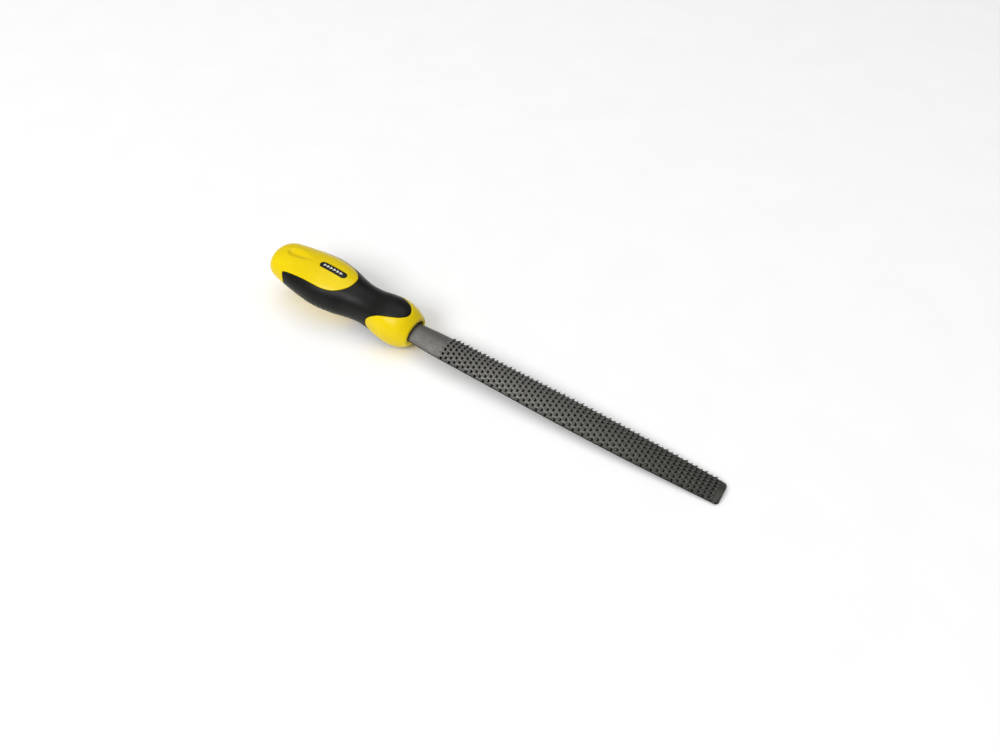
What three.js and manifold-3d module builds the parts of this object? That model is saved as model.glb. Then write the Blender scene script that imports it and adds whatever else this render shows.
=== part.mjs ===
// A half-round wood rasp in a moulded two-material handle. Millimetres, +Z up.
// Stations along the tool are counted from the mouth of the handle: the blade runs to +X and the
// handle to -X. The blade's flat back lies in Z = 0 and its round, toothed face looks up.
// The group at the end is moved so that the middle of the tool's box is the origin.

import * as THREE from "three";
import { mergeGeometries, mergeVertices } from "three/addons/utils/BufferGeometryUtils.js";
import Module from "manifold-3d";

const wasm = await Module();
wasm.setup();

// Blade
const BLADE_LENGTH = 204.5; // from the mouth to the blunt tip, the nominal 8 inch size
const BLADE_BELLY = 20.2; // greatest width, a little past half way
const BLADE_THICK = 5.5;
const EDGE_THICK = 0.9; // height of the narrow side faces
const HEEL_LENGTH = 23.4; // smooth steel between the mouth and the first row of teeth
const TIP_CORNER = 2; // corner radius of the blunt tip
const HEEL_INSIDE = 4; // how far the full blade goes on into the mouth
const ROUND_FACETS = 14; // flats across the round face, two for each tooth of a row

// Teeth
const ROW_PITCH = 3.05;
const ROW_COUNT = 60;
const TOOTH_LENGTH = 1.9;
const TOOTH_WIDTH = 1.35;
const TOOTH_HEIGHT = 1.1;
const TOOTH_SUNK = 0.15; // how deep a tooth's base is set into the steel
const FLAT_TEETH = 6; // teeth in a row of the flat back
const FLAT_MARGIN = 2; // width of the flat back that a row leaves free at its two ends together

// Tang
const TANG_LENGTH = 80;
const TANG_WIDTH = [10, 4]; // at the shoulder, at the point
const TANG_THICK = [4.6, 2.6];
const TANG_ROOT = 1; // how far the tang is set into the heel

// Handle
const HANDLE_LENGTH = 109.6;
const BUTT_CAP = 13; // length of the rounded butt
const BUTT_BLUNTNESS = 2.6; // exponent of its superellipse: 2 would be a plain ellipse
const SPINE_AT_MOUTH = 2.3; // height of the handle's axis over the blade's flat back
const SPINE_RISE = 0.036; // how much the axis climbs towards the butt, per millimetre
const MOUTH_DROP = 1.2; // how much the axis dips towards the mouth
const DROP_REACH = 35; // length over which that dip dies away
const AROUND = 32; // facets round the handle
const GRIP_THICK = 2.2; // wall of the soft over-moulding
const GAP = 0.3; // clearance between pieces that touch

// Half-width and half-height of the handle at stations from the butt to the mouth.
const HANDLE_STATIONS = [
  [-110, 14.3, 10],
  [-100, 14.8, 10.5],
  [-92, 16.2, 11.7],
  [-80, 17.9, 13.4],
  [-68, 18.6, 14.5],
  [-56, 16.5, 14.5],
  [-46, 13.7, 13.3],
  [-38, 12.4, 12.7],
  [-30, 12.7, 13.2],
  [-22, 14.2, 14.6],
  [-14, 14.9, 15.3],
  [-6, 13.3, 13.7],
  [0, 10.6, 8.6],
];

// Ends of the black over-moulding on the handle's sides
const WRAP_END = -92.6; // the rear one
const LOBE_END = -29.2; // the front one, where the yellow side lobe of the collar begins

// Badge
const BADGE_LENGTH = 20.2;
const BADGE_WIDTH = 4.8;
const BADGE_AT = -62.7;
const BADGE_PROUD = 0.2; // over the handle's own surface
const BADGE_DEPTH = 1; // under it

// Mouth of the handle: an arched recess that the heel enters with room to spare
const MOUTH_HALF = 8.4;
const MOUTH_FLOOR = -1;
const MOUTH_TOP = 7.4;
const MOUTH_SIDE = 2; // height where the side walls turn into the arch
const MOUTH_DEPTH = 5.2;

// Finger dish near the butt, a drop-shaped hollow that is widest at its rear end:
// radius at stations along its own axis, which runs this much over the handle's surface
const DISH_PROFILE = [
  [-99.9, 0],
  [-98.4, 3.2],
  [-95, 4.8],
  [-91, 4.8],
  [-85, 3.7],
  [-78, 0],
];
const DISH_OVER = 2;

const STEEL = 0x6f6e69;
const YELLOW = 0xefd604;
const BLACK = 0x2a2b28;
const LABEL_BLACK = 0x101010;

// ---------------------------------------------------------------------------- solids

// A closed three.js geometry as a solid that can be joined and cut.
function solid(geometry) {
  const bare = geometry.clone();
  bare.deleteAttribute("normal");
  bare.deleteAttribute("uv");
  const merged = mergeVertices(bare, 1e-4);
  const index = Array.from(merged.index.array);
  const triVerts = [];
  for (let i = 0; i < index.length; i += 3) {
    const [a, b, c] = index.slice(i, i + 3);
    if (a !== b && b !== c && c !== a) triVerts.push(a, b, c);
  }
  return new wasm.Manifold(
    new wasm.Mesh({
      numProp: 3,
      vertProperties: new Float32Array(merged.attributes.position.array),
      triVerts: new Uint32Array(triVerts),
    }),
  );
}

// A solid back as a geometry with flat facets.
function geometryOf(body) {
  const mesh = body.getMesh();
  const geometry = new THREE.BufferGeometry();
  geometry.setAttribute("position", new THREE.BufferAttribute(mesh.vertProperties, 3));
  geometry.setIndex(new THREE.BufferAttribute(mesh.triVerts, 1));
  const flat = geometry.toNonIndexed();
  flat.computeVertexNormals();
  return flat;
}

function piece(name, body, colour, roughness, metalness) {
  const material = new THREE.MeshStandardMaterial({ color: colour, roughness, metalness });
  const mesh = new THREE.Mesh(geometryOf(body), material);
  mesh.name = name;
  return mesh;
}

// Moves every vertex of a geometry by a rule that is given its position.
function reshape(geometry, rule) {
  const position = geometry.attributes.position;
  const point = new THREE.Vector3();
  for (let i = 0; i < position.count; i += 1) {
    point.fromBufferAttribute(position, i);
    rule(point);
    position.setXYZ(i, point.x, point.y, point.z);
  }
  return geometry;
}

// A prism along Z from an outline in X and Y, from a given height to over the whole handle.
function prism(points, bottom) {
  const shape = new THREE.Shape(points);
  const geometry = new THREE.ExtrudeGeometry(shape, { depth: 40 - bottom, bevelEnabled: false });
  return solid(geometry.translate(0, 0, bottom));
}

// ---------------------------------------------------------------------------- blade

const bladeEdge = new THREE.SplineCurve([
  new THREE.Vector2(-HEEL_INSIDE, 0.79),
  new THREE.Vector2(4, 0.8),
  new THREE.Vector2(20, 0.89),
  new THREE.Vector2(64, 0.94),
  new THREE.Vector2(112, 1),
  new THREE.Vector2(156, 0.94),
  new THREE.Vector2(BLADE_LENGTH, 0.76),
]);

// The value of a curve's y where its x is a given station. The curve's x only ever grows.
function valueAt(curve, x) {
  let low = 0;
  let high = 1;
  for (let i = 0; i < 30; i += 1) {
    const middle = (low + high) / 2;
    if (curve.getPoint(middle).x < x) low = middle;
    else high = middle;
  }
  return curve.getPoint(low).y;
}

function tipDrop(x) {
  const into = x - (BLADE_LENGTH - TIP_CORNER);
  return into > 0 ? TIP_CORNER - Math.sqrt(Math.max(0, TIP_CORNER ** 2 - into ** 2)) : 0;
}

function bladeHalfWidth(x) {
  return (BLADE_BELLY / 2) * valueAt(bladeEdge, x) - tipDrop(x);
}

// The blade thins over its last third.
function bladeThickness(x) {
  const into = THREE.MathUtils.smoothstep(x, 110, BLADE_LENGTH + 20);
  return BLADE_THICK * (1 - 0.36 * into);
}

// A point of the round face: across runs from -1 to 1 over the width.
function crown(x, across) {
  const thick = bladeThickness(x);
  const half = bladeHalfWidth(x);
  const rise = thick - EDGE_THICK;
  const radius = (half ** 2 + rise ** 2) / (2 * rise);
  const turn = across * Math.asin(half / radius);
  return new THREE.Vector3(x, radius * Math.sin(turn), thick - radius * (1 - Math.cos(turn)));
}

function bladeStations() {
  const stations = [-HEEL_INSIDE, 0, 20];
  for (let x = 40; x < BLADE_LENGTH - 5; x += 20) stations.push(x);
  for (const share of [0, 0.5, 0.85, 1]) stations.push(BLADE_LENGTH - TIP_CORNER * (1 - share));
  return stations;
}

// The forging without its teeth: a unit half-round section run along X and then reshaped.
function bladeBody() {
  const stations = bladeStations();
  const shape = new THREE.Shape();
  shape.moveTo(-1, 0);
  shape.lineTo(1, 0);
  for (let k = 0; k <= ROUND_FACETS; k += 1) {
    const across = 1 - (2 * k) / ROUND_FACETS;
    shape.lineTo(across, 2 - across ** 2);
  }
  const geometry = new THREE.ExtrudeGeometry(shape, {
    depth: stations.length - 1,
    steps: stations.length - 1,
    bevelEnabled: false,
  });
  reshape(geometry, (p) => {
    const x = stations[Math.round(p.z)];
    if (p.y > 0.5) p.copy(crown(x, p.x));
    else p.set(x, p.x * bladeHalfWidth(x), 0);
  });
  return solid(geometry);
}

// The tapered tang, or the space that it needs where it is grown. Its root is sunk in the heel.
function tangBody(grow) {
  const heights = [BLADE_THICK / 2, spine(-HEEL_INSIDE - TANG_LENGTH)];
  const bar = new THREE.BoxGeometry(1, 1, 1);
  reshape(bar, (p) => {
    const far = 0.5 - p.x;
    const x = -HEEL_INSIDE - TANG_LENGTH * far + (far === 0 ? TANG_ROOT : -grow);
    const y = p.y * (THREE.MathUtils.lerp(...TANG_WIDTH, far) + 2 * grow);
    const z = p.z * (THREE.MathUtils.lerp(...TANG_THICK, far) + 2 * grow);
    p.set(x, y, z + THREE.MathUtils.lerp(...heights, far));
  });
  return solid(bar);
}

// One tooth: a three-sided pyramid that ramps up towards the tip and drops steeply in front.
function toothAt(middle, acrossward, outward) {
  const height = TOOTH_HEIGHT + TOOTH_SUNK;
  const cone = new THREE.ConeGeometry(1, height, 3, 1);
  reshape(cone, (p) => {
    const atApex = p.y > 0;
    const onward = (atApex ? 0.5 : -p.z) * (TOOTH_LENGTH / 1.5);
    const sideways = -p.x * (TOOTH_WIDTH / Math.sqrt(3));
    p.set(onward, sideways, p.y + height / 2 - TOOTH_SUNK);
  });
  const alongward = new THREE.Vector3().crossVectors(acrossward, outward);
  const place = new THREE.Matrix4().makeBasis(alongward, acrossward, outward);
  return cone.applyMatrix4(place.setPosition(middle));
}

function roundTeeth(x, row) {
  const teeth = [];
  for (let k = row % 2; k < ROUND_FACETS; k += 2) {
    const right = crown(x, -1 + (2 * k) / ROUND_FACETS);
    const left = crown(x, -1 + (2 * (k + 1)) / ROUND_FACETS);
    const across = new THREE.Vector3().subVectors(left, right).normalize();
    const outward = new THREE.Vector3().crossVectors(new THREE.Vector3(1, 0, 0), across);
    teeth.push(toothAt(right.lerp(left, 0.5), across, outward));
  }
  return teeth;
}

function flatTeeth(x, row) {
  const teeth = [];
  const spacing = (2 * bladeHalfWidth(x) - FLAT_MARGIN) / FLAT_TEETH;
  for (let k = 0; k < FLAT_TEETH; k += 1) {
    const shift = row % 2 ? 0.25 : -0.25;
    const y = (k - (FLAT_TEETH - 1) / 2 + shift) * spacing;
    const across = new THREE.Vector3(0, -1, 0);
    const outward = new THREE.Vector3(0, 0, -1);
    teeth.push(toothAt(new THREE.Vector3(x, y, 0), across, outward));
  }
  return teeth;
}

function allTeeth() {
  const teeth = [];
  for (let row = 0; row < ROW_COUNT; row += 1) {
    const x = HEEL_LENGTH + row * ROW_PITCH;
    teeth.push(...roundTeeth(x, row), ...flatTeeth(x, row));
  }
  return solid(mergeGeometries(teeth));
}

// ---------------------------------------------------------------------------- handle

const widthCurve = new THREE.SplineCurve(HANDLE_STATIONS.map(([x, a]) => new THREE.Vector2(x, a)));
const heightCurve = new THREE.SplineCurve(HANDLE_STATIONS.map(([x, , b]) => new THREE.Vector2(x, b)));

// Height of the handle's axis, which climbs a little towards the butt.
function spine(x) {
  return SPINE_AT_MOUTH - SPINE_RISE * x - MOUTH_DROP * Math.exp(x / DROP_REACH);
}

function buttCap(x) {
  const into = (BUTT_CAP - HANDLE_LENGTH - x) / BUTT_CAP;
  return into > 0 ? Math.max(0, 1 - into ** BUTT_BLUNTNESS) ** (1 / BUTT_BLUNTNESS) : 1;
}

function handleStations() {
  const stations = [];
  for (const share of [0, 0.01, 0.04, 0.1, 0.2, 0.35, 0.6]) {
    stations.push(BUTT_CAP * share - HANDLE_LENGTH);
  }
  for (let x = BUTT_CAP - HANDLE_LENGTH; x < -10; x += 4) stations.push(x);
  stations.push(-8, -5, -2.5, -1, 0);
  return stations;
}

// The oval outside of the handle, grown by a given amount, or shrunk where it is negative.
function handleBody(grow) {
  const stations = handleStations();
  const profile = stations.map((x, i) => new THREE.Vector2(i === 0 ? 0 : 1, i));
  profile.push(new THREE.Vector2(0, stations.length - 1));
  const geometry = new THREE.LatheGeometry(profile, AROUND);
  reshape(geometry, (p) => {
    const x = stations[Math.round(p.y)];
    const halfWidth = Math.max(0, valueAt(widthCurve, x) * buttCap(x) + grow);
    const halfHeight = Math.max(0, valueAt(heightCurve, x) * buttCap(x) + grow);
    p.set(x - grow * (1 - buttCap(x)), -p.x * halfWidth, p.z * halfHeight + spine(x));
  });
  return solid(geometry);
}

function smoothLine(points, pieces = 3) {
  const curve = new THREE.SplineCurve(points.map(([x, y]) => new THREE.Vector2(x, y)));
  return curve.getPoints(pieces * (points.length - 1));
}

// All that is black, seen from above, as a prism: a side wrap on either side of the yellow rear
// panel, the whole waist, and a tongue that runs out over the collar between two yellow lobes.
// The same prism cuts the top and the underside. It can be grown to leave a gap.
function blackZone(grow) {
  const beyond = 30;
  const tongueAndLobe = smoothLine([
    [-5 + grow, 0],
    [-5.9 + grow, 3 + grow],
    [-8.3 + grow, 6.1 + grow],
    [-11.8, 8 + grow],
    [-15.5, 9.5 + grow],
    [-21.5 + grow, 11 + grow],
    [-25.5 + grow, 12.1 + grow],
    [LOBE_END + grow, 14],
  ]);
  const panelEdge = smoothLine([
    [WRAP_END - grow, 14.3 - grow],
    [-84, 13.4 - grow],
    [-74.5, 13.5 - grow],
    [-65, 14 - grow],
    [-58.5 - grow, 13 - grow],
    [-54.2 - grow, 11.3 - grow],
    [-50.1 - grow, 8.3 - grow],
    [-47.1 - grow, 4.6 - grow],
    [-46.1 - grow, 0],
  ]);
  const outside = [
    new THREE.Vector2(LOBE_END + grow, beyond),
    new THREE.Vector2(WRAP_END + 1 - grow, beyond),
    new THREE.Vector2(WRAP_END + 1 - grow, valueAt(widthCurve, WRAP_END)),
  ];
  const half = [...tongueAndLobe, ...outside, ...panelEdge];
  const inner = half.slice(1, -1);
  const mirrored = inner.reverse().map((p) => new THREE.Vector2(p.x, -p.y));
  return prism([...half, ...mirrored], -40);
}

function badgeZone(grow) {
  const radius = BADGE_WIDTH / 2 + grow;
  const toEnd = (BADGE_LENGTH - BADGE_WIDTH) / 2;
  const shape = new THREE.Shape();
  shape.absarc(BADGE_AT + toEnd, 0, radius, -Math.PI / 2, Math.PI / 2, false);
  shape.absarc(BADGE_AT - toEnd, 0, radius, Math.PI / 2, (3 * Math.PI) / 2, false);
  return prism(shape.getPoints(6).slice(0, -1), spine(BADGE_AT));
}

function mouthRecess() {
  const shape = new THREE.Shape();
  shape.moveTo(-MOUTH_HALF, MOUTH_FLOOR);
  shape.lineTo(MOUTH_HALF, MOUTH_FLOOR);
  shape.absellipse(0, MOUTH_SIDE, MOUTH_HALF, MOUTH_TOP - MOUTH_SIDE, 0, Math.PI, false);
  const geometry = new THREE.ExtrudeGeometry(shape, {
    depth: 2 * MOUTH_DEPTH,
    curveSegments: 14,
    bevelEnabled: false,
  });
  return solid(reshape(geometry, (p) => p.set(p.z - MOUTH_DEPTH, p.x, p.y)));
}

// One dish of the pair, on the top (side 1) or on the underside (side -1).
function dish(side) {
  const profile = DISH_PROFILE.map(([x, radius]) => new THREE.Vector2(radius, x));
  const geometry = new THREE.LatheGeometry(profile, 16);
  return solid(
    reshape(geometry, (p) => {
      const over = valueAt(heightCurve, p.y) + DISH_OVER;
      p.set(p.y, -p.x, p.z + spine(p.y) + side * over);
    }),
  );
}

// ---------------------------------------------------------------------------- the four pieces

function raspBlade() {
  return bladeBody().add(allTeeth()).add(tangBody(0));
}

function handleCore() {
  const gripPocket = blackZone(GAP).subtract(handleBody(-GRIP_THICK - GAP));
  const badgePocket = badgeZone(GAP).subtract(handleBody(-BADGE_DEPTH - GAP));
  return handleBody(0)
    .subtract(gripPocket)
    .subtract(badgePocket)
    .subtract(mouthRecess())
    .subtract(tangBody(GAP))
    .subtract(dish(1))
    .subtract(dish(-1));
}

function softGrip() {
  return handleBody(0).subtract(handleBody(-GRIP_THICK)).intersect(blackZone(0));
}

function badge() {
  return handleBody(BADGE_PROUD).subtract(handleBody(-BADGE_DEPTH)).intersect(badgeZone(0));
}

const rasp = new THREE.Group();
rasp.add(piece("rasp_blade", raspBlade(), STEEL, 0.5, 0.9));
rasp.add(piece("handle_core", handleCore(), YELLOW, 0.35, 0));
rasp.add(piece("soft_grip", softGrip(), BLACK, 0.65, 0));
rasp.add(piece("badge", badge(), LABEL_BLACK, 0.3, 0));

// The middle of the tool's box becomes the origin.
rasp.position.copy(new THREE.Box3().setFromObject(rasp).getCenter(new THREE.Vector3()).negate());

export default rasp;
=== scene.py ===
"""A half-round wood rasp in a moulded two-material handle: the looks, built around the CAD frame.

Shapes are worked out in millimetres along the tool: stations x count from the mouth of the handle,
the blade runs to +X, its flat back lies in z = 0, and phi is the angle round the handle from its
top, positive towards -Y. to_row() turns points into metres in the row frame.
"""

import math

import bmesh
import bpy
import numpy as np
from mathutils import Matrix, Vector
from mathutils.geometry import delaunay_2d_cdt


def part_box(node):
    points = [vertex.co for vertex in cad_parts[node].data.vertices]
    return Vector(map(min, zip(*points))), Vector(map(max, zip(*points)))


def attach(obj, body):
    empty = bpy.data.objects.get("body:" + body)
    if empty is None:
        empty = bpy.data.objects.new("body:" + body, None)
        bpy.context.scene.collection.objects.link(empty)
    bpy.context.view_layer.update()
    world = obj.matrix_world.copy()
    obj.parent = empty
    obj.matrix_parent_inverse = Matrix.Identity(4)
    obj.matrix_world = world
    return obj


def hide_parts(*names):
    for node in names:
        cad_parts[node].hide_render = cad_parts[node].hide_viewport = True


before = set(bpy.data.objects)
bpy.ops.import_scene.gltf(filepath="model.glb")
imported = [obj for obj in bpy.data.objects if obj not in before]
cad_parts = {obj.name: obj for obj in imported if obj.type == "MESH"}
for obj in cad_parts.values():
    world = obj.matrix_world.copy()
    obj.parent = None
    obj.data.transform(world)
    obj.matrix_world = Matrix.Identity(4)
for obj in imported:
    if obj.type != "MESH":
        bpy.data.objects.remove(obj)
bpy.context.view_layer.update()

MM = 0.001
CURVE_STEPS = 24  # between two given points of a smooth curve

# Blade
BLADE_LENGTH = 204.5
BLADE_BELLY = 20.2
BLADE_THICK = 5.5
BLADE_THINS = 0.36  # share of the thickness that it loses between these stations
THINNING = (110, BLADE_LENGTH + 20)
EDGE_THICK = 0.9
EDGE_ROUND = 0.14  # rounding of the long edges and of the tip's end face
END_SHRINK = (1, 0.985, 0.93)  # of the end face against the ring before it
SIDE_HEIGHTS = (0.86, 0.68, 0.32, 0.14)  # of the side face's rounding, as shares of its thickness
SIDE_OUT = (0.08, 0.14, 0.14, 0.08)  # and how far it stands out there
HEEL_LENGTH = 23.4
HEEL_INSIDE = 4
TIP_CORNER = 2
TIP_MARGIN = 3.4  # plain steel at the tip
# (station, share of the widest width)
BLADE_EDGE = [(-4, 0.79), (4, 0.8), (20, 0.89), (64, 0.94), (112, 1), (156, 0.94), (204.5, 0.76)]

# Teeth. Rows follow each other at one pitch, and every other row is shifted by half a tooth.
ROW_PITCH = 3.05
ROW_COUNT = 60
ROUND_TEETH = 7
ROUND_OUTER = 13 / 14  # middle of the outermost tooth, as a share of the half-width
ROUND_SPACING = 4 / 14  # of the teeth in a row, as such a share
FLAT_TEETH = 6
FLAT_MARGIN = 2  # plain steel along the edges of the flat back, both together
CAD_TOOTH = 1.1  # height of the plain teeth of the CAD blade
TOOTH_HEIGHT = 1.65
FLAT_TOOTH_HEIGHT = 1.08
LOWEST_TOOTH = 0.86  # as a share of the tallest
TOOTH_STRAY = 0.06  # how far a tooth may stand to one side of its place
APEX_AHEAD = 0.57  # of the tooth's tip, from its row's station
TOOTH_RAMP = 2.1
RAMP_HOLLOW = 1.6  # power of the ramp's climb
TOOTH_HALF = 0.9
TOOTH_START = 0.45  # width where the ramp starts, as a share of the width at the tip
TOOTH_FLANK = 1.5  # power of the fall to the sides
TOOTH_FRONT = 0.14  # length of the steep front
TOOTH_LEAN = 0.28  # how far a tooth leans onward for each millimetre of its height
EDGE_FADE = 0.965  # share of the half-width where the teeth begin to sink into the long edge
TIP_FADE = 0.8  # length over which they sink into the plain tip

# Punched pits in front of the teeth
PIT_DEPTH = 0.5
PIT_LENGTH = 1.45
PIT_HALF = 1.05
THINNEST_PIT = 0.01  # keeps the pit's width above nothing at its end

# Dark places on the steel, from 0 for none to 1 for black
PIT_SHADE = 2.5  # how fast the painted shade sets in from the rim of a pit
SHADE_START = 0.01  # how far in front of a tooth's tip the painted shade of its steep front and pit begins
EDGE_SHADE = 0.22  # along the edges of the toothed part of the round face
EDGE_SHADE_BAND = (0.8, 0.95)  # shares of the half-width over which it sets in
EDGE_SHADE_START = 3  # and half the length over which it sets in behind the teeth
SIDE_SHADE = 1  # on the narrow side faces and on the tip's end face

# Tang
TANG_LENGTH = 80
TANG_WIDTH = (10, 4)  # at the root and at the point
TANG_THICK = (4.6, 2.6)
TANG_CORNER = 12  # power of its corners
TANG_POINT = -HEEL_INSIDE - TANG_LENGTH

# Handle
HANDLE_LENGTH = 109.6
BUTT_CAP = 13
BUTT_BLUNTNESS = 2.6
CAP_END = -102.0  # where the rings of the butt meet the yellow panels
SPINE_AT_MOUTH = 2.3  # height of the handle's axis, before its drop
SPINE_RISE = 0.036  # for each millimetre towards the butt
MOUTH_DROP = 1.2  # of the axis at the mouth, which dies out over the reach
DROP_REACH = 35
# (station, half-width, half-height)
HANDLE_STATIONS = [
    (-110, 14.3, 10), (-100, 14.8, 10.5), (-92, 16.2, 11.7), (-80, 17.9, 13.4), (-68, 18.6, 14.5),
    (-56, 16.5, 14.5), (-46, 13.7, 13.3), (-38, 12.4, 12.7), (-30, 12.7, 13.2), (-22, 14.2, 14.6),
    (-14, 14.9, 15.3), (-6, 13.3, 13.7), (0, 10.6, 8.6),
]

# Where yellow and black meet: (station, degrees from the top), from the top to the side
PANEL_EDGE = [
    (-46.1, 0), (-47.1, 19), (-50.1, 33.8), (-54.2, 44.4), (-58.5, 48.8), (-63, 49.8), (-68.2, 49),
    (-74.5, 48.9), (-81.8, 51.2), (-88, 55), (-91.8, 58.8), (-93.1, 62.8), (-93, 68), (-92.3, 78),
    (-91.8, 90),
]
COLLAR_EDGE = [
    (-4.2, 0), (-5, 13), (-7.7, 26), (-11.5, 33.5), (-15.4, 39.5), (-18.5, 44), (-22, 50.5),
    (-26.3, 63.5), (-28.7, 77), (-29.2, 90),
]
SEAM_GAP = 0.05  # between the middle of the parting line and either colour
SEAM_ROUND = [(0.5, 0), (0.3, 0.04), (0.16, 0.14), (0.08, 0.3), (0.05, 0.6)]  # (from line, depth)
SEAM_EDGE = SEAM_ROUND[0][0]
GRIP_THICK = 2.2
POCKET_DEPTH = 2.5

# Mouth
MOUTH_HALF = 8.4
MOUTH_FLOOR = -1
MOUTH_TOP = 7.4
MOUTH_SIDE = 2
MOUTH_DEPTH = 5.2
MOUTH_CORNER = 10  # power of the recess's lower corners
SOCKET_GAP = 0.3
LIP_DEPTH = 0.8
LIP_INSIDE = 0.3
LIP_STEPS = 16
LIP_ROLL = 2.5  # the lip rolls over in the first 1 / 2.5 of the way from outside to recess
LIP_MEET = 3  # by the first third it has closed in to the handle's front outline
LIP_TURN = 4  # and in the last quarter it turns inwards
LIP_CURL = 1.4  # power of the way from the front outline to the recess
BACK_ROUND = 0.4  # length of the rounding at the back of the recess
BACK_SHARE = 0.95  # and the size of the recess at its very back

# Finger dish near the butt: half-width at stations
DISH_EDGE = [(-99.7, 0), (-98.4, 2.6), (-95.4, 4.2), (-91.5, 4.4), (-86, 3.6), (-81.8, 2), (-78, 0)]
DISH_DEPTH = 1.7
DISH_FALL = (-99.9, -96.4)  # stations of its steep rear wall
DISH_CLIMB = (-92, -76)  # and of its long ramp
DISH_RIM = 1.04  # where the side wall ends, as a share of the half-width
DISH_STATIONS = (-101, -76)  # finer mesh round the dish
DISH_REACH = 6.2  # and how far to each side of the middle

# Finger ribs on the black sides
RIB_PITCH = 3.4
RIB_DEPTH = 0.22
RIB_SLANT = 3  # stations for each radian
RIB_SHARPNESS = 3
RIB_RISE = (-70, -66)  # stations over which the ribs set in and fade out
RIB_FADE = (-53, -48)
RIB_MIDDLE = 98  # degrees from the top
RIB_SIDES = (0.3, 0.55)  # radians from that middle

# Badge
BADGE_LENGTH = 20.2
BADGE_WIDTH = 4.8
BADGE_AT = -62.7
BADGE_PROUD = 0.2
BADGE_DEPTH = 1
BADGE_GAP = 0.12
BADGE_UNDER = 0.2  # clearance under the plate
# The plate's rim: (outwards from its outline, depth)
BADGE_ROUND = [(-0.4, -BADGE_PROUD), (-0.2, -0.18), (-0.06, -0.1), (0, 0.05), (0, BADGE_DEPTH)]
MARK_COUNT = 6
MARK_PITCH = 2.5
MARK_SIZE = 2.1
MARK_PROUD = 0.03
MARK_SUNK = 0.05

# Fineness of the meshes
FINE = 0.6
COARSE = 3
PLATE_STEP = 0.5
MARK_STEP = 0.4
PILL_STEP = 0.35
PILL_BOW = 17  # points on each rounded end of the badge
MARK_SIDE = 6  # points on each side of a mark
AROUND = 160
TANG_RINGS = 9
BUTT_RINGS = 40
HEEL_RINGS = 18
TIP_RINGS = 12
RING_CLEAR = 0.1  # least gap between the toothed stations and those of the tip
CAP_CLEAR = 0.3  # and between the butt's rings and the end of its cap
RAMP_CLEAR = 0.4  # from the heel's last ring to the first ramp
ROUND_CELLS = 13  # across the round face, half the spacing of its teeth each
FLAT_CELLS = 11  # across the flat back, out to this share of the half-width
FLAT_INSET = 0.9
CELL_PLACES = (0, 0.13, 0.3, 0.5, 0.7, 0.87)  # of points, as shares of a cell
ROW_PLACES = (-2.0, -1.4, -0.8, -0.35, 0, 0.02, 0.14, 0.45, 0.78)  # of points, from the tooth tips
MARGIN_POINTS = 3  # between an edge of a face and its first cell
LATTICE_ROW = 0.866  # height of a triangle of the lattice, as a share of its side
EDGE_CLEAR = 0.55  # least distance of the lattice from an outline, as a share of its step
WELD = 0.002
TINY = 1e-6  # tolerance of the triangulation

UNROLL = 15  # millimetres for each radian, where the handle's surface is laid out flat

# The handle's mouth, in the plane of the blade's flat back
origin = Vector((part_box("handle_core")[1].x, 0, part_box("rasp_blade")[0].z + CAD_TOOTH * MM))


def to_row(points):
    """Millimetres along the tool into metres in the row frame."""
    return np.asarray(points, float) * MM + np.array(origin)


def smoothstep(value, low, high):
    """0 up to low, 1 from high on, and a smooth step between them."""
    share = np.clip((value - low) / (high - low), 0, 1)
    return share * share * (3 - 2 * share)


def curve_through(points):
    """A smooth curve through the points, as a dense row of points."""
    p = np.array(points, float)
    last = len(p) - 1
    t = np.linspace(0, last, last * CURVE_STEPS + 1)
    i = np.minimum(t.astype(int), last - 1)
    w = (t - i)[:, None]
    before, start, end, after = p[np.maximum(i - 1, 0)], p[i], p[i + 1], p[np.minimum(i + 2, last)]
    out, into = (end - before) / 2, (after - start) / 2
    cubic = (2 * start - 2 * end + out + into) * w**3
    square = (3 * end - 3 * start - 2 * out - into) * w**2
    return cubic + square + out * w + start


def table_of(points):
    """A smooth curve through (x, value) points as a function of x."""
    line = curve_through(points)
    return lambda x: np.interp(x, line[:, 0], line[:, 1])


def placed(name, data):
    """A new object of the scene that holds some data."""
    made = bpy.data.objects.new(name, data)
    bpy.context.scene.collection.objects.link(made)
    return made


# ---------------------------------------------------------------------------- meshes


class Shell:
    """Points and faces gathered piece by piece, welded into one closed mesh at the end."""

    def __init__(self):
        self.points = []
        self.faces = []
        self.count = 0

    def add(self, points, faces):
        """Points, and faces that count from the first of them."""
        self.points.append(points)
        self.faces.extend((np.asarray(faces) + self.count).tolist())
        self.count += len(points)

    def rings(self, rings):
        """Quads between rings of points, which have the same number of points each."""
        rings = np.asarray(rings)
        rows, columns = rings.shape[:2]
        index = np.arange(rows * columns).reshape(rows, columns)
        a, b, c, d = index[:-1, :-1], index[:-1, 1:], index[1:, 1:], index[1:, :-1]
        self.add(rings.reshape(-1, 3), np.stack([a, b, c, d], -1).reshape(-1, 4))

    def fan(self, ring, centre):
        """Triangles from a ring to one point."""
        n = len(ring)
        faces = [(i, i + 1, n) for i in range(n - 1)]
        self.add(np.vstack([ring, [centre]]), faces)


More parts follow.
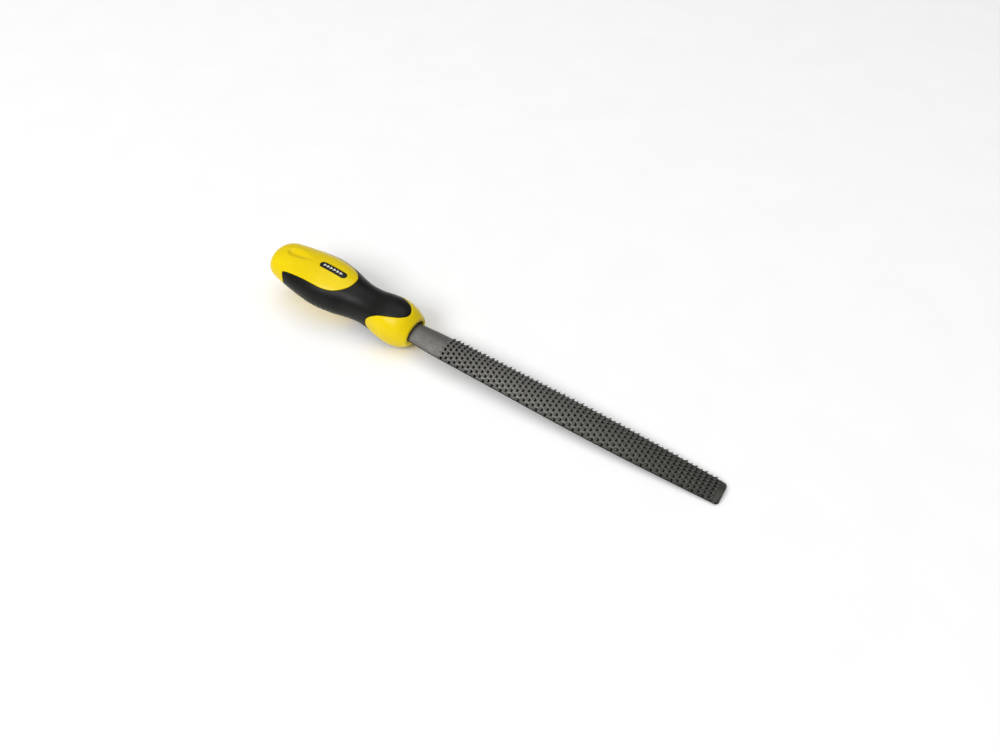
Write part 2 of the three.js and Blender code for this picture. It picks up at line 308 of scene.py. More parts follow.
def piece(name, shell, material, nodes=(), sharp=40, tone=None):
    """The shell as a closed, smooth object. It stands for the CAD nodes, where it has any.

    tone is a value at each point that the steel's material reads.
    """
    mesh = bpy.data.meshes.new(name)
    mesh.from_pydata(to_row(np.vstack(shell.points)).tolist(), [], shell.faces)
    if tone is not None:
        layer = mesh.attributes.new("tone", "FLOAT", "POINT")
        layer.data.foreach_set("value", np.asarray(tone, np.float32))
    work = bmesh.new()
    work.from_mesh(mesh)
    bmesh.ops.remove_doubles(work, verts=work.verts, dist=WELD * MM)
    bmesh.ops.recalc_face_normals(work, faces=work.faces)
    work.to_mesh(mesh)
    work.free()
    mesh.shade_smooth()
    mesh.set_sharp_from_angle(angle=math.radians(sharp))
    mesh.materials.append(material)
    made = placed(name, mesh)
    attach(made, "root")
    if nodes:
        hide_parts(*nodes)


# ---------------------------------------------------------------------------- flat layout


def inside(points, loops):
    """Which points lie inside an outline and outside its holes."""
    odd = np.zeros(len(points), bool)
    for loop in loops:
        for (x0, y0), (x1, y1) in zip(loop, np.roll(loop, -1, axis=0)):
            if y0 != y1:
                crosses = (points[:, 1] < y0) != (points[:, 1] < y1)
                odd ^= crosses & (points[:, 0] < x0 + (points[:, 1] - y0) * (x1 - x0) / (y1 - y0))
    return odd


def scattered(low, high, step):
    """Points of a regular triangular lattice over a box."""
    rows = np.arange(low[1], high[1], step * LATTICE_ROW)
    columns = np.arange(low[0], high[0], step)
    x, y = np.meshgrid(columns, rows)
    x = x + np.where(np.arange(len(rows)) % 2, step / 2, 0)[:, None]
    return np.stack([x.ravel(), y.ravel()], -1)


def region(loops, spacing, fine=None):
    """Points and triangles over a region of the handle's surface.

    Its loops are (x, phi) points, the outline first and then its holes. fine is a test in the flat
    layout for where the points lie twice as close.
    """
    flat = [np.array(loop, float) * (1, UNROLL) for loop in loops]
    edge = np.vstack(flat)
    inner = scattered(edge.min(0), edge.max(0), spacing)
    if fine is not None:
        dense = scattered(edge.min(0), edge.max(0), spacing / 2)
        inner = np.vstack([inner[~fine(*inner.T)], dense[fine(*dense.T)]])
    inner = inner[inside(inner, flat)]
    near = np.zeros(len(inner), bool)
    for point in edge:
        near |= ((inner - point) ** 2).sum(1) < (EDGE_CLEAR * min(spacing, FINE)) ** 2
    inner = inner[~near]
    links = []
    start = 0
    for loop in flat:
        n = len(loop)
        links.extend((start + i, start + (i + 1) % n) for i in range(n))
        start += n
    points = [Vector(p) for p in np.vstack([edge, inner])]
    found, _, faces, *_ = delaunay_2d_cdt(points, links, [], 0, TINY)
    found = np.array([tuple(p) for p in found])
    faces = np.array(faces)
    faces = faces[inside(found[faces].mean(1), flat)]
    return found / (1, UNROLL), faces


def band(rear, front):
    """The outline of the region between two lines that run once round the handle."""
    start, end = rear[0][0], front[0][0]
    stations = np.linspace(start, end, max(2, round((end - start) / FINE)))[1:-1]
    far = np.stack([stations, np.full_like(stations, math.pi)], -1)
    near = far[::-1] * (1, -1)
    return np.vstack([rear, far, front[::-1], near])


# ---------------------------------------------------------------------------- handle surface

half_width = table_of([(x, a) for x, a, _ in HANDLE_STATIONS])
half_height = table_of([(x, b) for x, _, b in HANDLE_STATIONS])
dish_edge = table_of(DISH_EDGE)


def spine(x):
    """Height of the handle's axis."""
    return SPINE_AT_MOUTH - SPINE_RISE * x - MOUTH_DROP * np.exp(x / DROP_REACH)


def butt_cap(x):
    """Share of the handle's section that is left on the rounded butt."""
    into = np.clip((BUTT_CAP - HANDLE_LENGTH - x) / BUTT_CAP, 0, 1)
    return (1 - into**BUTT_BLUNTNESS) ** (1 / BUTT_BLUNTNESS)


def oval(x, phi):
    """The plain outside of the handle."""
    y = -half_width(x) * butt_cap(x) * np.sin(phi)
    z = spine(x) + half_height(x) * butt_cap(x) * np.cos(phi)
    return np.stack([x + 0 * phi, y, z], -1)


def inward(x, phi):
    """The direction into the handle at its outside."""
    step = 0.02  # millimetres along, and a tenth of that in radians round
    along = oval(x + step, phi) - oval(x - step, phi)
    round_ = oval(x, phi + step / 10) - oval(x, phi - step / 10)
    normal = np.cross(along, round_)
    return normal / np.maximum(np.linalg.norm(normal, axis=-1, keepdims=True), 1e-9)


def dish(x, phi):
    """Depth of the finger dish, on the top and on the underside."""
    width = np.maximum(dish_edge(x), 1e-3)
    aside = np.abs(half_width(x) * np.sin(phi)) / width
    wall = 1 - smoothstep(aside, 0, DISH_RIM)
    along = smoothstep(x, *DISH_FALL) * (1 - smoothstep(x, *DISH_CLIMB))
    return DISH_DEPTH * wall * along


def ribs(x, phi):
    """Depth of the grooves between the slanted finger ribs on the two sides of the soft grip."""
    aside = np.abs(np.abs(phi) - math.radians(RIB_MIDDLE))
    window = smoothstep(x, *RIB_RISE) * (1 - smoothstep(x, *RIB_FADE))
    window = window * (1 - smoothstep(aside, *RIB_SIDES))
    slanted = x + RIB_SLANT * (np.abs(phi) - math.pi / 2)
    wave = 0.5 + 0.5 * np.cos(2 * math.pi * slanted / RIB_PITCH)
    return RIB_DEPTH * window * wave**RIB_SHARPNESS


def plain(x, phi):
    """Depth of a surface with no hollow in it."""
    return 0 * x


def surface(at, depth=0.0, hollow=plain):
    """Points on the handle for (x, phi) points, sunk into it by a depth and a hollow's own depth."""
    x, phi = np.asarray(at, float)[..., 0], np.asarray(at, float)[..., 1]
    sunk = depth + hollow(x, phi)
    return oval(x, phi) + inward(x, phi) * np.asarray(sunk)[..., None]


def stretch(x, phi):
    """Millimetres round the handle for each radian of phi."""
    return np.hypot(half_width(x) * np.cos(phi), half_height(x) * np.sin(phi))


def parting_line(quarter):
    """A line once round the handle, from its shape in one quarter, as (x, phi) points."""
    points = [(x, math.radians(phi)) for x, phi in quarter]
    before = (points[1][0], -points[1][1])
    after = (points[-2][0], math.pi - points[-2][1])
    line = curve_through([before, *points, after])[CURVE_STEPS:-CURVE_STEPS]
    legs = np.diff(line, axis=0)
    middle = (line[1:] + line[:-1]) / 2
    lengths = np.hypot(legs[:, 0], legs[:, 1] * stretch(*middle.T))
    along = np.concatenate([[0], np.cumsum(lengths)])
    even = np.linspace(0, along[-1], math.ceil(along[-1] / FINE) + 1)
    x, phi = np.interp(even, along, line[:, 0]), np.interp(even, along, line[:, 1])
    x = np.concatenate([x, x[-2::-1]])
    phi = np.concatenate([phi, math.pi - phi[-2::-1]])
    return np.stack([np.concatenate([x[::-1], x[1:]]), np.concatenate([-phi[::-1], phi[1:]])], -1)


def moved(line, amount):
    """A parting line moved sideways over the surface, towards the blade where amount is positive."""
    x, phi = line.T
    scale = stretch(x, phi)
    dx, dw = np.gradient(x), np.gradient(phi) * scale
    dx[[0, -1]] = 0
    length = np.hypot(dx, dw)
    return np.stack([x + amount * dw / length, phi - amount * dx / length / scale], -1)


def pill(grow=0.0):
    """The badge's outline, moved outwards by an amount, as (x, phi) points."""
    radius = BADGE_WIDTH / 2 + grow
    toward = (BADGE_LENGTH - BADGE_WIDTH) / 2
    straight = np.linspace(-toward, toward, round(2 * toward / PILL_STEP) + 1)[1:-1]
    bow = np.linspace(-math.pi / 2, math.pi / 2, PILL_BOW)
    front = [(toward + radius * math.cos(t), radius * math.sin(t)) for t in bow]
    upper = [(x, radius) for x in straight[::-1]]
    rear = [(-x, -y) for x, y in front]
    lower = [(x, -radius) for x in straight]
    outline = np.array(front + upper + rear + lower)
    x = BADGE_AT + outline[:, 0]
    return np.stack([x, -np.arcsin(outline[:, 1] / half_width(x))], -1)


def closed(loop):
    """A loop with its first point again at its end."""
    return np.vstack([loop, loop[:1]])


def near_dish(x, rolled):
    """Whether a point of the flat layout lies in or close to the finger dish."""
    aside = np.abs(half_width(x) * np.sin(rolled / UNROLL))
    start, end = DISH_STATIONS
    return (x > start) & (x < end) & (aside < DISH_REACH)


# ---------------------------------------------------------------------------- handle pieces

rear_line = parting_line(PANEL_EDGE)
front_line = parting_line(COLLAR_EDGE)
around = np.linspace(-math.pi, math.pi, AROUND + 1)


def ring_at(x):
    """A ring round the handle at one station, as (x, phi) points."""
    return np.stack([np.full_like(around, x), around], -1)


def patch(shell, loops, spacing, depth=0.0, hollow=plain, fine=None):
    """Adds the handle's surface within an outline, sunk by a depth."""
    points, faces = region(loops, spacing, fine)
    shell.add(surface(points, depth, hollow), faces)


def seam(shell, line, side, floor_depth, hollow=plain):
    """Adds the rounded edge beside a parting line, and the wall from there down to a depth."""
    rows = [surface(moved(line, side * away), depth, hollow) for away, depth in SEAM_ROUND]
    rows.append(surface(moved(line, side * SEAM_GAP), floor_depth))
    shell.rings(rows)


def soft_grip():
    """The black over-moulding: a closed skin of even thickness between the two parting lines."""
    shell = Shell()
    patch(shell, [band(moved(rear_line, SEAM_EDGE), moved(front_line, -SEAM_EDGE))], FINE, 0, ribs)
    seam(shell, rear_line, 1, GRIP_THICK, ribs)
    seam(shell, front_line, -1, GRIP_THICK, ribs)
    inner = band(moved(rear_line, SEAM_GAP), moved(front_line, -SEAM_GAP))
    patch(shell, [inner], COARSE, GRIP_THICK)
    return shell


def mouth_arch(direction):
    """Points of the recess's outline, arched above and square below, at angles from the top."""
    side, up = np.sin(direction), np.cos(direction)
    arch = 1 / np.hypot(side / MOUTH_HALF, up / (MOUTH_TOP - MOUTH_SIDE))
    below = (np.abs(side) / MOUTH_HALF) ** MOUTH_CORNER
    below = below + (np.abs(up) / (MOUTH_SIDE - MOUTH_FLOOR)) ** MOUTH_CORNER
    radius = np.where(up > 0, arch, below ** (-1 / MOUTH_CORNER))
    return np.stack([-radius * side, MOUTH_SIDE + radius * up], -1)


def bar_outline(direction, width, thick, height):
    """A rounded rectangle about a height, at the same angles."""
    side, up = np.sin(direction), np.cos(direction)
    radius = (np.abs(side) / (width / 2)) ** TANG_CORNER
    radius = (radius + (np.abs(up) / (thick / 2)) ** TANG_CORNER) ** (-1 / TANG_CORNER)
    return np.stack([-radius * side, height + radius * up], -1)


def at_station(x, outline):
    """An outline of (y, z) points at one station."""
    return np.column_stack([np.full(len(outline), float(x)), outline])


def tang_rings(direction, root, grow=0.0):
    """Rings from the tang's root at a station to its point, grown outwards by an amount."""
    heights = (BLADE_THICK / 2, float(spine(TANG_POINT)))
    rows = []
    for share in np.linspace(0, 1, TANG_RINGS):
        x = root + share * (TANG_POINT - grow - root)
        width = np.interp(share, (0, 1), TANG_WIDTH) + 2 * grow
        thick = np.interp(share, (0, 1), TANG_THICK) + 2 * grow
        height = np.interp(share, (0, 1), heights)
        rows.append(at_station(x, bar_outline(direction, width, thick, height)))
    return rows


def mouth(shell):
    """The rounded lip, the recess behind it and the socket of the tang."""
    outer = oval(np.full_like(around, -LIP_DEPTH), around)
    front = oval(np.zeros_like(around), around)
    direction = np.arctan2(-front[:, 1], front[:, 2] - MOUTH_SIDE)
    arch = mouth_arch(direction)
    rows = [outer]
    for share in np.linspace(0, 1, LIP_STEPS + 1)[1:]:
        rolled, turned = max(0, 1 - LIP_ROLL * share), max(0, LIP_TURN * share - (LIP_TURN - 1))
        sunk = LIP_DEPTH * rolled**2 + LIP_INSIDE * turned**2
        start = outer[:, 1:] + (front[:, 1:] - outer[:, 1:]) * min(1, LIP_MEET * share)
        rows.append(at_station(-sunk, start + (arch - start) * share**LIP_CURL))
    rows.append(at_station(-MOUTH_DEPTH + BACK_ROUND, arch))
    middle = (0, MOUTH_SIDE)
    rows.append(at_station(-MOUTH_DEPTH, (arch - middle) * BACK_SHARE + middle))
    rows.extend(tang_rings(around, -MOUTH_DEPTH, SOCKET_GAP))
    shell.rings(rows)
    shell.fan(rows[-1], rows[-1].mean(0))


def butt_stations(end):
    """Stations from the very end of the butt, evenly spread over its rounding."""
    turn = np.linspace(0, math.pi / 2, BUTT_RINGS)
    x = BUTT_CAP - HANDLE_LENGTH - BUTT_CAP * np.cos(turn) ** (2 / BUTT_BLUNTNESS)
    return np.append(x[x < end - CAP_CLEAR], end)


def handle_core():
    """The yellow core, with a pocket for the soft grip, one for the badge, and the mouth."""
    shell = Shell()
    pole = oval(np.full_like(around, -HANDLE_LENGTH), around)
    shell.rings([pole, *(surface(ring_at(x)) for x in butt_stations(CAP_END)[1:])])
    badge_pocket = pill(BADGE_GAP)
    panels = band(ring_at(CAP_END), moved(rear_line, -SEAM_EDGE))
    patch(shell, [panels, badge_pocket], FINE, 0, dish, near_dish)
    seam(shell, rear_line, -1, POCKET_DEPTH)
    seam(shell, front_line, 1, POCKET_DEPTH)
    grip_pocket = band(moved(rear_line, -SEAM_GAP), moved(front_line, SEAM_GAP))
    patch(shell, [grip_pocket], COARSE, POCKET_DEPTH)
    patch(shell, [band(moved(front_line, SEAM_EDGE), ring_at(-LIP_DEPTH))], FINE)
    mouth(shell)
    floor_depth = BADGE_DEPTH + BADGE_UNDER
    wall = closed(badge_pocket)
    shell.rings([surface(wall), surface(wall, floor_depth)])
    patch(shell, [badge_pocket], COARSE, floor_depth)
    return shell


def badge():
    """The label plate, with a softly rounded rim."""
    shell = Shell()
    inset, top = BADGE_ROUND[0]
    patch(shell, [pill(inset)], PLATE_STEP, top)
    shell.rings([surface(closed(pill(grow)), depth) for grow, depth in BADGE_ROUND])
    patch(shell, [pill()], COARSE, BADGE_DEPTH)
    return shell


def badge_marks():
    """A row of plain pointed teeth, printed on the badge."""
    shell = Shell()
    levels = (-BADGE_PROUD - MARK_PROUD, -BADGE_PROUD + MARK_SUNK)
    for k in range(MARK_COUNT):
        x = BADGE_AT + (k - (MARK_COUNT - 1) / 2) * MARK_PITCH
        corners = [(x - MARK_SIZE / 2, -MARK_SIZE / 2), (x + MARK_SIZE / 2, 0)]
        corners.append((x - MARK_SIZE / 2, MARK_SIZE / 2))
        sides = zip(corners, corners[1:] + corners[:1])
        steps = np.linspace(0, 1, MARK_SIDE)[:-1, None]
        outline = np.vstack([np.array(a) + steps * (np.array(b) - np.array(a)) for a, b in sides])
        outline = np.stack([outline[:, 0], -np.arcsin(outline[:, 1] / half_width(x))], -1)
        for depth in levels:
            patch(shell, [outline], MARK_STEP, depth)
        shell.rings([surface(closed(outline), depth) for depth in levels])
    return shell


# ---------------------------------------------------------------------------- blade

blade_edge = table_of(BLADE_EDGE)


def blade_half(x):
    """Half the blade's width, with its rounded corners at the tip."""
    into = np.clip(x - (BLADE_LENGTH - TIP_CORNER), 0, TIP_CORNER)
    drop = TIP_CORNER - np.sqrt(TIP_CORNER**2 - into**2)
    return BLADE_BELLY / 2 * blade_edge(x) - drop


def blade_thick(x):
    """The blade's thickness on its middle line."""
    return BLADE_THICK * (1 - BLADE_THINS * smoothstep(x, *THINNING))


def tooth(ahead, aside, height):
    """Relief and painted shade of one tooth: a ramp up to its tip, a steep drop, and a punched pit.
    """
    climb = np.where(ahead <= 0, np.clip(1 + ahead / TOOTH_RAMP, 0, 1) ** RAMP_HOLLOW, 0)
    climb = climb + np.where(ahead > 0, np.clip(1 - ahead / TOOTH_FRONT, 0, 1), 0)
    half = TOOTH_HALF * (TOOTH_START + (1 - TOOTH_START) * np.sqrt(climb))
    body = height * climb * np.clip(1 - (np.abs(aside) / half) ** TOOTH_FLANK, 0, 1)
    into = np.clip(ahead / PIT_LENGTH, 0, 1)
    pit_half = PIT_HALF * np.sqrt(np.clip(1 - into**2, THINNEST_PIT, 1))
    pit = np.where(ahead > TOOTH_FRONT / 2, PIT_DEPTH * (1 - into**2), 0)
    cup = np.clip(1 - (aside / pit_half) ** 2, 0, 1)
    dark = np.clip(PIT_SHADE * cup, 0, 1) * np.sqrt(1 - into**2)
    return body - pit * cup, np.where(ahead > SHADE_START, dark, 0)


def tooth_field(x, across, scale, first, spacing, count, tall, seed):
    """Relief and painted shade of all rows of teeth on one face.

    across, first and spacing are shares of the half-width, and scale is that half-width.
    """
    chance = np.random.default_rng(seed)
    heights = tall * chance.uniform(LOWEST_TOOTH, 1, (ROW_COUNT, count))
    shifts = chance.uniform(-TOOTH_STRAY, TOOTH_STRAY, (ROW_COUNT, count))
    relief, shade = np.zeros((2, *np.broadcast(x, across).shape))
    along = (x - HEEL_LENGTH - APEX_AHEAD) / ROW_PITCH
    for odd in (0, 1):
        row = (2 * np.round((along - odd) / 2) + odd).astype(int)
        row = np.clip(row, odd, ROW_COUNT - 2 + odd)
        start = first + odd * spacing / 2
        k = np.clip(np.round((across - start) / spacing), 0, count - 1).astype(int)
        ahead = (along - row) * ROW_PITCH
        aside = (across - start - k * spacing) * scale + shifts[row, k]
        body, dark = tooth(ahead + 0 * across, aside, heights[row, k])
        relief, shade = relief + body, np.maximum(shade, dark)
    return relief, shade


def shares(first, last, cells):
    """Places across a face, closer together on the middle lines of the teeth."""
    cell = (last - first) / cells
    places = [first + (i + place) * cell for i in range(cells) for place in CELL_PLACES]
    margin = np.linspace(-1, first, MARGIN_POINTS + 1)[:-1].tolist()
    return np.array([*margin, *places, last, *[-m for m in margin[::-1]]])


def blade_stations():
    """Stations of the mesh: even on the heel, close at each row's tips, and round the corners."""
    first_tips = HEEL_LENGTH + APEX_AHEAD
    heel = np.linspace(-HEEL_INSIDE, first_tips - TOOTH_RAMP - RAMP_CLEAR, HEEL_RINGS)
    rows = first_tips + ROW_PITCH * np.arange(ROW_COUNT)
    toothed = (rows[:, None] + np.array(ROW_PLACES)).ravel()
    turn = np.linspace(0, math.pi / 2, TIP_RINGS)
    tip = BLADE_LENGTH - EDGE_ROUND - TIP_CORNER * (1 - np.sin(turn))
    toothed = toothed[toothed < tip[0] - RING_CLEAR]
    return np.concatenate([heel, toothed, tip])


def faded(x, across, relief, shade):
    """Relief that sinks into the long edges and the plain tip, and the tone of each point.

    The tone is the relief, which the steel turns into a painted highlight on the crests, or minus the
    painted shade where there is one.
    """
    end = 1 - smoothstep(x, BLADE_LENGTH - TIP_MARGIN - TIP_FADE, BLADE_LENGTH - TIP_MARGIN)
    relief = relief * (1 - smoothstep(np.abs(across), EDGE_FADE, 1)) * end
    return relief, np.where(shade > 0, -shade * end, relief)


def leaning(x, relief, y, z):
    """Points of a face, with its teeth leaning towards the tip."""
    return np.stack([x + TOOTH_LEAN * np.maximum(relief, 0), y, z], -1)


def round_face(x, across):
    """The round face with its teeth, and the tone of each point."""
    thick, half = blade_thick(x), blade_half(x)
    rise = thick - EDGE_THICK
    radius = (half**2 + rise**2) / (2 * rise)
    full = np.arcsin(half / radius)
    teeth = (-ROUND_OUTER, ROUND_SPACING, ROUND_TEETH, TOOTH_HEIGHT)
    relief, shade = tooth_field(x, across, radius * full, *teeth, seed=11)
    relief, tone = faded(x, across, relief, shade)
    edge = smoothstep(np.abs(across), *EDGE_SHADE_BAND)
    edge = edge * smoothstep(x, HEEL_LENGTH - EDGE_SHADE_START, HEEL_LENGTH + EDGE_SHADE_START)
    tone = np.where(shade > 0, tone, tone * (1 - edge) - EDGE_SHADE * edge)
    turn = across * full
    reach = radius + relief
    z = thick - radius + reach * np.cos(turn)
    return leaning(x, relief, reach * np.sin(turn), z), tone


def flat_face(x, across):
    """The flat back with its teeth, and the tone of each point."""
    half = blade_half(x)
    spacing = (2 * half - FLAT_MARGIN) / FLAT_TEETH / half
    first = -(FLAT_TEETH - 1) / 2 * spacing - spacing / 4
    teeth = (first, spacing, FLAT_TEETH, FLAT_TOOTH_HEIGHT)
    relief, shade = tooth_field(x, across, half, *teeth, seed=23)
    relief, tone = faded(x, across, relief, shade)
    return leaning(x, relief, half * across, -relief), tone


def side_face(x, side):
    """The narrow side between the round face and the flat one, in the ring's order of points."""
    heights = np.array(SIDE_HEIGHTS)[None, ::side] * EDGE_THICK + 0 * x
    y = side * (blade_half(x) + np.array(SIDE_OUT) - EDGE_ROUND / 2)
    return np.stack([x + 0 * heights, y, heights], -1), np.full(heights.shape, -SIDE_SHADE)


def blade():
    """The closed skin of the blade and its tang, and the tone of each of its points."""
    x = blade_stations()[:, None]
    top = shares(-ROUND_OUTER, ROUND_OUTER, ROUND_CELLS)[None]
    bottom = shares(-FLAT_INSET, FLAT_INSET, FLAT_CELLS)[None, ::-1]
    faces = [round_face(x, top), side_face(x, 1), flat_face(x, bottom), side_face(x, -1)]
    faces.append([values[:, :1] for values in faces[0]])  # the first column again, to close it
    skin, tone = (np.concatenate(values, 1) for values in zip(*faces))
    middle = skin[-1].mean(0)
    end = middle + (skin[-1] - middle) * END_SHRINK
    end[:, 0] = BLADE_LENGTH
    direction = np.arctan2(-skin[0, :, 1], skin[0, :, 2] - BLADE_THICK / 2)
    tang = np.array(tang_rings(direction, -HEEL_INSIDE))[::-1]
    rows = np.concatenate([tang, skin, end[None]])
    shell = Shell()
    shell.rings(rows)
    shell.fan(rows[0], rows[0].mean(0))
    shell.fan(rows[-1], rows[-1].mean(0))
    tones = np.zeros(shell.count)
    start = tang.shape[0] * tang.shape[1]
    tones[start : start + tone.size] = tone.ravel()
    tones[start + tone.size :] = -SIDE_SHADE  # the end face
    return shell, tones


# ---------------------------------------------------------------------------- materials


class Nodes:
    """A small helper round one material's node tree."""

    def __init__(self, name):
        self.material = bpy.data.materials.new(name)
        self.material.use_nodes = True
        self.tree = self.material.node_tree
        self.shader = self.tree.nodes["Principled BSDF"]
        self.place = self.add("ShaderNodeTexCoord").outputs["Object"]

    def add(self, kind, **values):
        """A new node, with some of its properties set."""
        node = self.tree.nodes.new(kind)
        for key, value in values.items():
            setattr(node, key, value)
        return node

    def link(self, out, into):
        self.tree.links.new(out, into)

    def noise(self, size, detail, stretched=(1, 1, 1)):
        """Noise with features of a size in millimetres."""
        scale = self.add("ShaderNodeMapping")
        scale.inputs["Scale"].default_value = [1 / (size * MM * s) for s in stretched]
        self.link(self.place, scale.inputs["Vector"])
        noise = self.add("ShaderNodeTexNoise")
        noise.inputs["Scale"].default_value = 1
        noise.inputs["Detail"].default_value = detail
        self.link(scale.outputs["Vector"], noise.inputs["Vector"])
        return noise.outputs["Fac"]

    def ramp(self, value, stops):
        """Colours, or greys given as one number, at stops from 0 to 1."""
        ramp = self.add("ShaderNodeValToRGB")
        ends = ramp.color_ramp.elements
        while len(ends) < len(stops):
            ends.new(0.5)
        for end, (at, colour) in zip(ends, stops):
            end.position = at
            end.color = (*colour, 1) if isinstance(colour, tuple) else (colour,) * 3 + (1,)
        self.link(value, ramp.inputs["Fac"])
        return ramp.outputs["Color"]

    def span(self, value, low, high, start=0.0, end=1.0):
        """A value's range turned into another one, held at its ends."""
        node = self.add("ShaderNodeMapRange")
        for key, number in zip(("From Min", "From Max", "To Min", "To Max"), (low, high, start, end)):
            node.inputs[key].default_value = number
        self.link(value, node.inputs["Value"])
        return node.outputs["Result"]

    def mix(self, factor, first, second, blend="MIX"):
        """A colour mixed from two, where each input is a constant or another node's output."""
        node = self.add("ShaderNodeMix", data_type="RGBA", blend_type=blend)
        for key, value in (("Factor", factor), ("A", first), ("B", second)):
            socket = [s for s in node.inputs if s.name == key and s.enabled][0]
            if isinstance(value, (float, int, tuple)):
                socket.default_value = (*value, 1) if isinstance(value, tuple) else value
            else:
                self.link(value, socket)
        return [s for s in node.outputs if s.enabled][0]

    def bump(self, height, depth, strength, after=None):
        """A bump of a depth in millimetres, on top of another bump's normal where one is given."""
        node = self.add("ShaderNodeBump")
        node.inputs["Distance"].default_value = depth * MM
        node.inputs["Strength"].default_value = strength
        self.link(height, node.inputs["Height"])
        if after is not None:
            self.link(after, node.inputs["Normal"])
        return node.outputs["Normal"]

    def finish(self, colour, roughness, normal, **constants):
        """Links the shader's inputs and sets its constants, with _ for a space in their names."""
        self.link(colour, self.shader.inputs["Base Color"])
        self.link(roughness, self.shader.inputs["Roughness"])
        self.link(normal, self.shader.inputs["Normal"])
        for key, value in constants.items():
            self.shader.inputs[key.replace("_", " ")].default_value = value
        return self.material


def yellow_plastic():
    """Glossy moulded polypropylene with a faint orange-peel skin and flow marks."""
    nodes = Nodes("yellow_plastic")
    cloud = nodes.noise(14, 2)
    colour = nodes.ramp(cloud, [(0.3, (0.755, 0.555, 0.002)), (0.7, (0.805, 0.605, 0.003))])
    flow = nodes.noise(4, 4, (3, 1, 1))
    colour = nodes.mix(nodes.span(flow, 0.35, 0.75, 0, 0.12), colour, (0.84, 0.65, 0.02))
    roughness = nodes.span(nodes.noise(1.2, 4), 0.3, 0.7, 0.24, 0.32)
    peel = nodes.bump(nodes.noise(1.4, 2), 0.012, 0.4)
    normal = nodes.bump(nodes.noise(0.25, 2), 0.002, 0.4, peel)
    return nodes.finish(colour, roughness, normal, IOR=1.49, Specular_IOR_Level=0.17)


def black_soft():
    """Soft thermoplastic rubber: fine spark-eroded grain, dull with a broad shine."""
    nodes = Nodes("black_soft")
    cloud = nodes.noise(9, 3)
    colour = nodes.ramp(cloud, [(0.3, (0.006, 0.0068, 0.0058)), (0.7, (0.010, 0.011, 0.0094))])
    grain = nodes.noise(0.25, 3)
    colour = nodes.mix(nodes.span(grain, 0.5, 0.75, 0, 0.3), colour, (0.022, 0.023, 0.021))
    roughness = nodes.span(nodes.noise(2.5, 4), 0.3, 0.7, 0.34, 0.42)
    coarse = nodes.bump(nodes.noise(0.45, 2), 0.02, 0.6)
    normal = nodes.bump(grain, 0.012, 0.7, coarse)
    return nodes.finish(colour, roughness, normal, IOR=1.5, Specular_IOR_Level=0.14)


def label_black():
    """Smooth pad-printed badge."""
    nodes = Nodes("label_black")
    colour = nodes.ramp(nodes.noise(2, 3), [(0.3, 0.004), (0.7, 0.008)])
    roughness = nodes.span(nodes.noise(0.8, 3), 0.3, 0.7, 0.28, 0.4)
    normal = nodes.bump(nodes.noise(0.3, 2), 0.004, 0.5)
    return nodes.finish(colour, roughness, normal, IOR=1.5, Specular_IOR_Level=0.25)


def print_white():
    """Pale ink with a slightly uneven coat."""
    nodes = Nodes("print_white")
    colour = nodes.ramp(nodes.noise(0.4, 4), [(0.3, (0.62, 0.6, 0.54)), (0.7, (0.78, 0.76, 0.7))])
    roughness = nodes.span(nodes.noise(0.6, 3), 0.3, 0.7, 0.45, 0.6)
    normal = nodes.bump(nodes.noise(0.12, 3), 0.004, 0.6)
    return nodes.finish(colour, roughness, normal, IOR=1.5)


def steel():
    """Forged and ground steel: mottled grey, darker at the tip, painted highlights on the teeth,
    painted shade in the pits.
    """
    nodes = Nodes("steel")
    parts = nodes.add("ShaderNodeSeparateXYZ")
    nodes.link(nodes.place, parts.inputs["Vector"])
    along = [origin.x + station * MM for station in (0, BLADE_LENGTH)]
    share = nodes.span(parts.outputs["X"], *along)
    base = nodes.ramp(share, [
        (0.0, (0.28, 0.275, 0.255)),
        (0.1, (0.28, 0.275, 0.255)),
        (0.3, (0.31, 0.305, 0.28)),
        (0.6, (0.2, 0.198, 0.178)),
        (0.8, (0.13, 0.132, 0.113)),
        (1.0, (0.09, 0.093, 0.08)),
    ])
    mottle = nodes.noise(1.3, 5, (1.5, 1, 1))
    base = nodes.mix(nodes.span(mottle, 0.35, 0.7, 0, 0.25), base, (0.08, 0.077, 0.07))
    scratches = nodes.noise(0.35, 4, (8, 1, 1))
    base = nodes.mix(nodes.span(scratches, 0.55, 0.8, 0, 0.12), base, (0.3, 0.29, 0.27))
    tone = nodes.add("ShaderNodeAttribute", attribute_name="tone").outputs["Fac"]
    # Painted highlight: the teeth's crests keep the full colour, while steel at low relief is dimmed
    # to 0.6
    crest_highlight = nodes.ramp(nodes.span(tone, 0.1, 0.8 * TOOTH_HEIGHT), [(0.0, 0.6), (1.0, 1.0)])
    base = nodes.mix(1.0, base, crest_highlight, "MULTIPLY")
    # Negative tone turns the steel near black: painted shade in the pits and on the teeth's steep
    # fronts, and also the dark side faces, end face and edge bands
    base = nodes.mix(nodes.span(tone, 0.0, -0.6, 0, 0.97), base, (0.003, 0.003, 0.0025))
    roughness = nodes.span(mottle, 0.3, 0.7, 0.5, 0.62)
    ground = nodes.bump(scratches, 0.01, 0.4)
    normal = nodes.bump(nodes.noise(0.35, 4), 0.02, 0.5, ground)
    return nodes.finish(base, roughness, normal, Metallic=0.6, Specular_IOR_Level=0.3)


# ---------------------------------------------------------------------------- stage

REST_POINTS = ((-16, -13.3), (200, -1.1))  # (station, height) where the tool touches the floor
FLOOR_GAP = 0.1
FLOOR_SIZE = 4.0  # metres to each side
CAMERA_PLACE = (193.6, -268.8, 359.0)
CAMERA_AIM = (60.33, 2.01, 0)
CAMERA_ROLL = 7.13  # degrees
CAMERA_LENS = 28.18
SENSOR_WIDTH = 36
WORLD_STRENGTH = 0.2


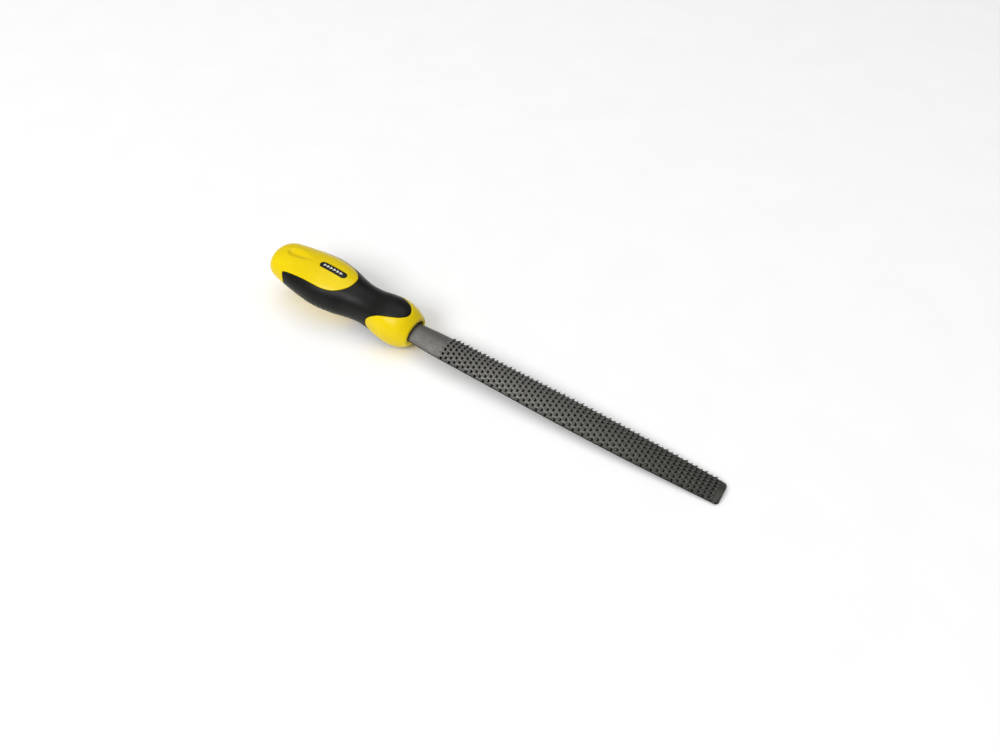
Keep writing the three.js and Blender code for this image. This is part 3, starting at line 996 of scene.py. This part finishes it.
def floor():
    """A pale floor that the collar's underside and the blade's tip rest on."""
    (x0, z0), (x1, z1) = REST_POINTS
    tilt = math.atan2(z1 - z0, x1 - x0)
    mesh = bpy.data.meshes.new("floor")
    corners = [(x * FLOOR_SIZE, y * FLOOR_SIZE, 0) for x, y in ((-1, -1), (1, -1), (1, 1), (-1, 1))]
    mesh.from_pydata(corners, [], [(0, 1, 2, 3)])
    nodes = Nodes("floor_paper")
    colour = nodes.ramp(nodes.noise(40, 3), [(0.3, 0.96), (0.7, 0.98)])
    roughness = nodes.span(nodes.noise(5, 3), 0.3, 0.7, 0.8, 0.9)
    normal = nodes.bump(nodes.noise(0.6, 3), 0.01, 0.3)
    mesh.materials.append(nodes.finish(colour, roughness, normal))
    made = placed("floor", mesh)
    made.rotation_euler = (0, -tilt, 0)
    made.location = Vector(to_row([x0, 0, z0 - FLOOR_GAP]))


def camera():
    """The camera looks down on the tool from beyond the tip's near side, a little tilted."""
    place, aim = Vector(to_row(CAMERA_PLACE)), Vector(to_row(CAMERA_AIM))
    forward = (aim - place).normalized()
    right = forward.cross(Vector((0, 0, 1))).normalized()
    level = Matrix((right, right.cross(forward), -forward)).transposed()
    roll = Matrix.Rotation(math.radians(CAMERA_ROLL), 3, "Z")
    data = bpy.data.cameras.new("camera")
    data.sensor_width = SENSOR_WIDTH
    data.lens = CAMERA_LENS
    data.clip_start = 0.01
    data.clip_end = 20
    made = placed("camera", data)
    made.matrix_world = Matrix.Translation(place) @ (level @ roll).to_4x4()
    bpy.context.scene.camera = made


def softbox(name, place, width, height, power):
    """A rectangular light that faces the middle of the tool. Its measures are in metres."""
    data = bpy.data.lights.new(name, "AREA")
    data.shape = "RECTANGLE"
    data.size = width
    data.size_y = height
    data.energy = power
    made = placed(name, data)
    made.location = place
    made.rotation_euler = (-Vector(place)).to_track_quat("-Z", "Y").to_euler()


def light():
    """A dim white surrounding, a key light from the near side and a broad one overhead."""
    world = bpy.data.worlds.new("studio")
    world.use_nodes = True
    background = world.node_tree.nodes["Background"]
    background.inputs["Color"].default_value = (1, 1, 1, 1)
    background.inputs["Strength"].default_value = WORLD_STRENGTH
    bpy.context.scene.world = world
    softbox("key", place=(-0.7, -3.2, 2.85), width=2.4, height=1.7, power=112)
    softbox("top", place=(-0.4, 0.0, 4.4), width=5.8, height=4.8, power=135)
    bpy.context.scene.view_settings.view_transform = "Standard"


# ---------------------------------------------------------------------------- build

camera()
light()
floor()

piece("handle_shell", handle_core(), yellow_plastic(), ["handle_core"])
piece("grip_skin", soft_grip(), black_soft(), ["soft_grip"])
piece("badge_plate", badge(), label_black(), ["badge"])
piece("badge_marks", badge_marks(), print_white())
skin, tones = blade()
piece("rasp_skin", skin, steel(), ["rasp_blade"], sharp=75, tone=tones)
